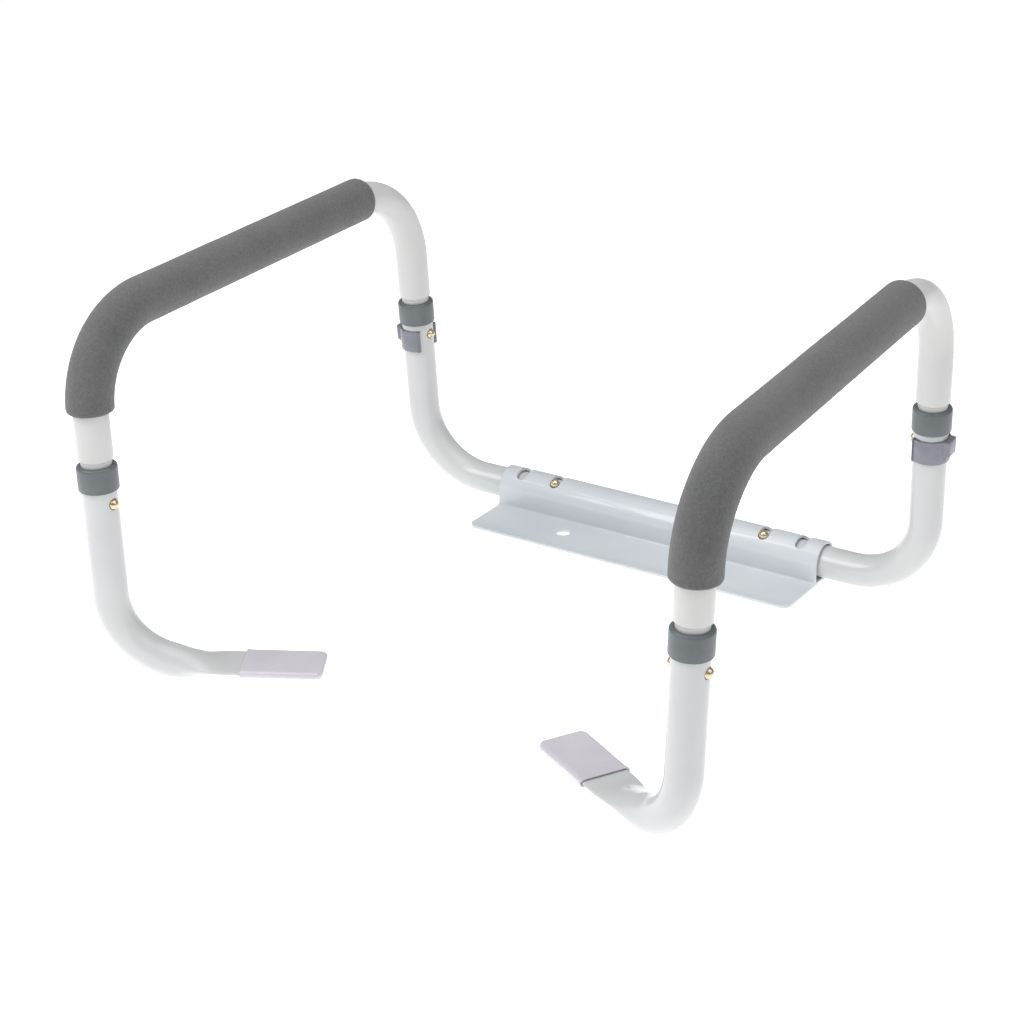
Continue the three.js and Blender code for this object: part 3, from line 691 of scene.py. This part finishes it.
def front_tube_skin(s):
    """Round rings into the foot's bend, where the pressing starts, then flatter ones to the closed tip."""
    line, foot = s.line, s.foot
    start = s.front + COLLAR_LIP
    places = line.stations(start, foot + BLADE_START)
    rings = [ring_at(line, start + 12, pressed_section(0), BORE / TUBE)]
    rings.append(ring_at(line, start, pressed_section(0), BORE / TUBE))
    rings += [ring_at(line, p, pressed_section(0)) for p in places]
    steps = 26
    for i in range(1, steps + 1):
        distance = foot + BLADE_START + (BLADE_FLAT - BLADE_START) * i / steps
        rings.append(ring_at(line, distance, pressed_section(smooth(i / steps))))
    for left in (BLADE_CORNER, 4, 3, 2, 1.2, 0.6, 0.2, 0):
        width = corner_width(BLADE_WIDTH, BLADE_CORNER, left)
        section = pressed_section(1, width, BLADE_THICKNESS)
        rings.append(ring_at(line, foot + TIP_REACH - left, section))
    return shell(rings)


def ring_at(line, distance, section, scale=1):
    point, _, level, upright = line.frame(distance)
    return [point + level * (x * scale) + upright * (y * scale) for x, y in section]


for s in SIDES:
    tube = piece_from(f"{s.name}_front_lower_tube", front_tube_skin(s), tube_coat)
    hole = s.below("front", BUTTON_BELOW_COLLAR) @ TURN_OUT
    cut(tube, round_cutter(hole, BUTTON_HOLE, 3 * TUBE))
    stand_for(tube, f"{s.name}_front_tube")


# ---- tip covers ----
# A soft vinyl sleeve dipped or pushed over each pressed blade, so that it grips the bowl's rim.
# It is glossy and slightly clear, closed and rounded at its end, with a small rolled mouth.

COVER_START = 92
COVER_WALL = 1.5
COVER_END = 2.3
COVER_EDGE = 2.2


def vinyl():
    """Lilac white vinyl: glossy, slightly clear, with a faintly wavy skin."""
    finish = Finish("cover_vinyl", Specular_IOR_Level=0.55, Coat_Roughness=0.05, Subsurface_Weight=0.25)
    finish.shader.inputs["Subsurface Radius"].default_value = (3 * MM, 2.4 * MM, 3 * MM)
    cloud = finish.grain(45, 3)
    wave = finish.grain(120, 1)
    finish.feed(
        Base_Color=finish.shades(cloud, (0.595, 0.565, 0.625), (0.63, 0.605, 0.66)),
        Roughness=0.13 + 0.14 * cloud,
        Coat_Weight=0.3 + 0.4 * cloud,
    )
    finish.bump(wave, 0.12)
    return finish.material


cover_vinyl = vinyl()


def cover_skin(s):
    """Outer rings from the mouth to the closed end, then inner ones back from the blade's end."""
    width = BLADE_WIDTH + 2 * COVER_WALL
    thickness = BLADE_THICKNESS + 2 * COVER_WALL
    end = s.foot + TIP_REACH + COVER_END
    mouth = s.foot + COVER_START
    plan = BLADE_CORNER + COVER_WALL

    def ring(distance, grow, tip=0):
        round_end = thickness / 2 - math.sqrt(max((thickness / 2) ** 2 - tip**2, 0))
        w = corner_width(width, plan, max(end - distance, 0.05)) + 2 * grow
        t = max(thickness + 2 * grow - 2 * round_end, 0.6)
        return ring_at(s.line, distance, pressed_section(1, w, t))

    rings = [ring(s.foot + TIP_REACH - 2, -COVER_WALL), ring(mouth + 0.5, -COVER_WALL + 0.1)]
    rings += [ring(mouth, -0.9), ring(mouth - 0.35, -0.4), ring(mouth - 0.3, 0.2)]
    rings += [ring(mouth + 0.4, 0.35), ring(mouth + 1.6, 0.3), ring(mouth + 2.6, 0)]
    for left in (plan, 5.4, 4.4, 3.4, 2.8):
        rings.append(ring(end - left, 0))
    for left in (2.4, 1.8, 1.2, 0.7, 0.3, 0.1):
        rings.append(ring(end - left, 0, COVER_EDGE * (1 - left / 2.8)))
    return shell(rings)


for s in SIDES:
    cover = piece_from(f"{s.name}_vinyl_cover", cover_skin(s), cover_vinyl, sharp=60)
    stand_for(cover, f"{s.name}_tip_cover")


# ---- foam grips ----
# Thick closed-cell foam tube pushed over each arm and down its front shoulder, where the user leans.
# It is matte grey and mottled, soft at its cut ends, and a little uneven along its length.

GRIP = 16.9
GRIP_FRONT_END = 171.5
GRIP_REAR_END = -87
GRIP_SHIFT = {"left": -4, "right": 4}
GRIP_ROUND = 2.6
GRIP_SIDES = 96
FOAM_UNEVEN = 0.16


def foam():
    """Closed-cell foam: fine cells at its skin, and a mottled grey."""
    finish = Finish("grey_foam", Specular_IOR_Level=0.2, Sheen_Weight=0.25, Sheen_Roughness=0.6)
    sockets = {"Vector": finish.place(), "Scale": 1500}
    cells = finish.node("TexVoronoi", {"feature": "F1"}, sockets, "Distance")
    mottle = finish.grain(420, 4, 0.65)
    patch = finish.grain(28, 3)
    mix = 0.55 * mottle + 0.25 * patch + 0.2 * cells
    finish.feed(
        Base_Color=finish.shades(mix, (0.08, 0.081, 0.083), (0.144, 0.145, 0.146)),
        Roughness=0.86 + 0.12 * mottle,
    )
    finish.bump(cells + 0.8 * mottle, 0.3)
    return finish.material


grey_foam = foam()


def foam_skin(s):
    start = s.line.where(ARM, 1, GRIP_REAR_END) + GRIP_SHIFT[s.name]
    end = s.line.where(FRONT_LEG, 2, GRIP_FRONT_END) + GRIP_SHIFT[s.name]
    bore = TUBE + 0.1
    lean = GRIP_ROUND
    ends = [(1 - math.cos(a), 1 - math.sin(a)) for a in np.radians(np.linspace(0, 90, 8))]
    outer = [(start + lean * out, GRIP - lean * drop) for out, drop in ends]
    outer += [(p, GRIP) for p in s.line.stations(start + lean, end - lean, 1.6)[1:-1]]
    outer += [(end - lean * out, GRIP - lean * drop) for out, drop in reversed(ends)]
    inner = [(start, bore), *[(p, bore) for p in s.line.stations(start, end)[1:-1]], (end, bore)]
    bm = turned_along(s.line, outer + list(reversed(inner)), sides=GRIP_SIDES)
    for index, vertex in enumerate(bm.verts):
        row = index // GRIP_SIDES
        if row < len(outer):
            swell = noise.noise(vertex.co / 23) + 0.5 * noise.noise(vertex.co / 7)
            out = vertex.co - s.line.frame(outer[row][0])[0]
            vertex.co += out.normalized() * (FOAM_UNEVEN * swell)
    return bm


for s in SIDES:
    skin = foam_skin(s)
    grip = piece_from(f"{s.name}_foam_sleeve", skin, grey_foam)
    stand_for(grip, f"{s.name}_foam_grip")


# ---- collars ----
# A moulded slate grey plastic ring over the top of each lower tube, which hides the joint.
# It has a soft top rim that closes in on the arm tube's neck, and a small chamfer below.

COLLAR_HEIGHT = 18.5
COLLAR = 14.6


def collar_plastic():
    """Satin moulded plastic with a fine spark-eroded grain."""
    finish = Finish("grey_plastic", Specular_IOR_Level=0.5)
    cloud = finish.grain(60, 2)
    grain = finish.grain(2200, 2)
    finish.feed(
        Base_Color=finish.shades(0.7 * cloud + 0.3 * grain, (0.092, 0.108, 0.117), (0.132, 0.148, 0.158)),
        Roughness=0.34 + 0.16 * cloud,
        Coat_Weight=0.05 + 0.1 * cloud,
    )
    finish.bump(grain, 0.03)
    return finish.material


grey_plastic = collar_plastic()


def turned(seat, profile, sides=ROUND):
    """A skin turned about local Z from a closed (radius, height) profile."""
    angles = np.linspace(0, 2 * math.pi, sides, endpoint=False)
    rings = [[seat @ Vector((r * math.cos(a), r * math.sin(a), h)) for a in angles] for r, h in profile]
    return shell(rings, joined=True)


def collar_profile():
    round_rim, chamfer = 2.2, 0.7
    top = COLLAR_HEIGHT
    mouth = NECK + 0.15
    bore = TUBE + 0.15
    rim = [(COLLAR - round_rim + r, top - round_rim + h) for r, h in arc((0, 0), round_rim, 0, 90, 10)]
    under = COLLAR_HEIGHT - COLLAR_LIP + 0.3
    low = [(bore, 0.2), (bore + 0.2, 0), (COLLAR - chamfer, 0)]
    low += [(COLLAR - 0.15, 0.55 * chamfer), (COLLAR, chamfer + 0.3)]
    return [*low, *rim, (mouth + 0.3, top), (mouth, top - 0.3), (mouth, under), (bore, under)]


for s in SIDES:
    for end in ("rear", "front"):
        skin = turned(s.below(end, COLLAR_HEIGHT), collar_profile())
        collar = piece_from(f"{s.name}_{end}_collar_ring", skin, grey_plastic)
        stand_for(collar, f"{s.name}_{end}_collar")


# ---- rear clips ----
# A springy C of slightly clear plastic snapped round each rear leg, below its collar.
# Its boss covers the outer button, and a rounded lip runs down each side of its opening.

CLIP_TOP_BELOW_COLLAR = 23.3
CLIP_HEIGHT = 18
CLIP_WALL = 1.8
CLIP_OPENING = 55
CLIP_LIP = 1.5
BOSS_REACH = 17.6
BOSS_WIDTH = 15
BOSS_HEIGHT = 14


def clip_material():
    """Glossy purplish grey plastic that lets a little light in."""
    finish = Finish("clip_plastic", Specular_IOR_Level=0.5, Coat_Roughness=0.1, Subsurface_Weight=0.15)
    finish.shader.inputs["Subsurface Radius"].default_value = (1.5 * MM, 1.5 * MM, 2 * MM)
    cloud = finish.grain(70, 2)
    flow = finish.grain(260, 2)
    finish.feed(
        Base_Color=finish.shades(cloud, (0.165, 0.172, 0.205), (0.225, 0.232, 0.27)),
        Roughness=0.24 + 0.16 * cloud,
        Coat_Weight=0.1 + 0.2 * cloud,
    )
    finish.bump(flow, 0.05)
    return finish.material


clip_plastic = clip_material()


def clip_band(seat):
    """The C band with its lips, as one outline drawn up the tube with eased edges."""
    bore = TUBE + 0.2
    outer = bore + CLIP_WALL
    end = 180 - CLIP_OPENING
    lip = math.radians(end)
    middle_of_lip = ((bore + CLIP_LIP) * math.cos(lip), (bore + CLIP_LIP) * math.sin(lip))
    outline = [*arc((0, 0), outer, -end, end, 90)]
    outline += arc(middle_of_lip, CLIP_LIP, end, end + 180, 10)
    outline += arc((0, 0), bore, end, -end, 90)[1:-1]
    below = (middle_of_lip[0], -middle_of_lip[1])
    outline += arc(below, CLIP_LIP, 180 - end, 360 - end, 10)
    ease = 0.4
    rows = [(0, ease), (0.3 * ease, 0.3 * ease), (ease, 0)]
    rows += [(CLIP_HEIGHT - h, depth) for h, depth in reversed(rows)]
    return shell([[seat @ Vector((x, y, h)) for x, y in inset(outline, depth)] for h, depth in rows])


def clip_boss(seat):
    """The block over the button, with round corners, a flat face and a sloped foot."""
    half, corner, slope = BOSS_WIDTH / 2, 3, 2.2
    low = CLIP_HEIGHT - BOSS_HEIGHT
    outline = [(TUBE - 2, -half), *arc((BOSS_REACH - corner, corner - half), corner, -90, 0, 8)]
    outline += [*arc((BOSS_REACH - corner, half - corner), corner, 0, 90, 8), (TUBE - 2, half)]
    top = CLIP_HEIGHT - 0.2
    rows = [(low, slope), (low + slope, 0.15), (low + slope + 0.3, 0)]
    rows += [(top - 0.5, 0), (top - 0.15, 0.15), (top, 0.5)]
    return shell([[seat @ Vector((x, y, h)) for x, y in inset(outline, depth)] for h, depth in rows])


for s in SIDES:
    seat = s.below("rear", CLIP_TOP_BELOW_COLLAR + CLIP_HEIGHT)
    clip = piece_from(f"{s.name}_snap_clip", clip_band(seat), clip_plastic)
    boss = piece_from("boss", clip_boss(seat), clip_plastic)
    up_the_tube = seat @ Matrix.Translation((0, 0, CLIP_HEIGHT / 2))
    cut(boss, round_cutter(up_the_tube, TUBE + 0.7, 2 * CLIP_HEIGHT))
    cut(clip, boss, how="UNION")
    button = s.below("rear", BUTTON_BELOW_COLLAR) @ Matrix.Translation((TUBE + 1.5, 0, 0)) @ TURN_OUT
    cut(clip, round_cutter(button, BUTTON_HOLE, 5))
    stand_for(clip, f"{s.name}_rear_clip")


# ---- snap buttons ----
# Turned brass domes that stand out through the drilled holes, each pushed out by a leaf spring behind it.
# Two lock the joint in each leg, and one on each side stands in the bracket's slot.

BUTTON = 3.9
DOME = 3.2
LEG_BUTTON_BASE = BORE - (TUBE - NECK) - 0.6
WIDTH_BUTTON_BASE = BORE - 1


def turned_brass():
    """Bright brass with a thin tarnish and fine handling marks."""
    finish = Finish("brass", Metallic=1.0)
    tarnish = finish.grain(420, 3)
    mark = finish.grain(1900, 2)
    finish.feed(
        Base_Color=finish.shades(tarnish, (0.55, 0.45, 0.28), (0.78, 0.68, 0.48)),
        Roughness=0.14 + 0.22 * tarnish,
    )
    finish.bump(mark, 0.03)
    return finish.material


brass = turned_brass()


def button_profile(base, skin):
    """A barrel with an eased back and a dome of the cap's own radius."""
    cap = (BUTTON**2 + DOME**2) / (2 * DOME)
    spread = math.degrees(math.asin(BUTTON / cap))
    dome = [(r, skin + DOME - cap + h) for r, h in arc((0, 0), cap, 90 - spread, 90, 16)]
    return [(0.01, base), (BUTTON - 0.4, base), (BUTTON, base + 0.4), *dome[:-1], (0.01, skin + DOME)]


def button_piece(name, node, seat, base, skin):
    skin_mesh = turned(seat, button_profile(base, skin), sides=48)
    bmesh.ops.remove_doubles(skin_mesh, verts=skin_mesh.verts, dist=0.03)
    button = piece_from(name, skin_mesh, brass)
    stand_for(button, node)


for s in SIDES:
    for end in ("rear", "front"):
        for facing, turn in (("outer", TURN_OUT), ("inner", TURN_OUT.inverted())):
            seat = s.below(end, BUTTON_BELOW_COLLAR) @ turn
            node = f"{s.name}_{end}_{facing}_button"
            button_piece(f"{node}_dome", node, seat, LEG_BUTTON_BASE, TUBE)
    node = f"{s.name}_width_button"
    button_piece(f"{node}_dome", node, s.width_seat() @ TURN_OUT, WIDTH_BUTTON_BASE, SLEEVE_RADIUS)


# ---- springs and plugs ----
# Folded spring steel leaves inside the tubes, and the plastic plug in each rear tube's inner end.
# They are out of sight when the frame is together, and keep the shape of the engineering model.

def spring_steel():
    """Rolled spring steel: straw-blue tint and fine rolling marks along the strip."""
    finish = Finish("spring_steel", Metallic=1.0)
    tint = finish.grain(90, 2)
    stretch = finish.node("Mapping", None, {"Vector": finish.place(), "Scale": (3000, 3000, 120)}, "Vector")
    rolling = finish.node("TexNoise", None, {"Vector": stretch, "Scale": 1.0, "Detail": 2}, "Fac")
    finish.feed(
        Base_Color=finish.shades(tint, (0.27, 0.285, 0.31), (0.4, 0.4, 0.39)),
        Roughness=0.25 + 0.2 * rolling,
    )
    finish.bump(rolling, 0.02)
    return finish.material


def plug_plastic():
    """Dark moulded plastic with a fine grain."""
    finish = Finish("plug_plastic", Specular_IOR_Level=0.4)
    grain = finish.grain(1800, 2)
    cloud = finish.grain(80, 2)
    finish.feed(
        Base_Color=finish.shades(cloud, (0.035, 0.038, 0.042), (0.06, 0.063, 0.067)),
        Roughness=0.45 + 0.2 * grain,
    )
    finish.bump(grain, 0.04)
    return finish.material


INNER = {"spring": spring_steel(), "plug": plug_plastic()}
for node, part in frame["nodes"].items():
    for kind, finish in INNER.items():
        if node.endswith(kind):
            part.data.materials.clear()
            part.data.materials.append(finish)
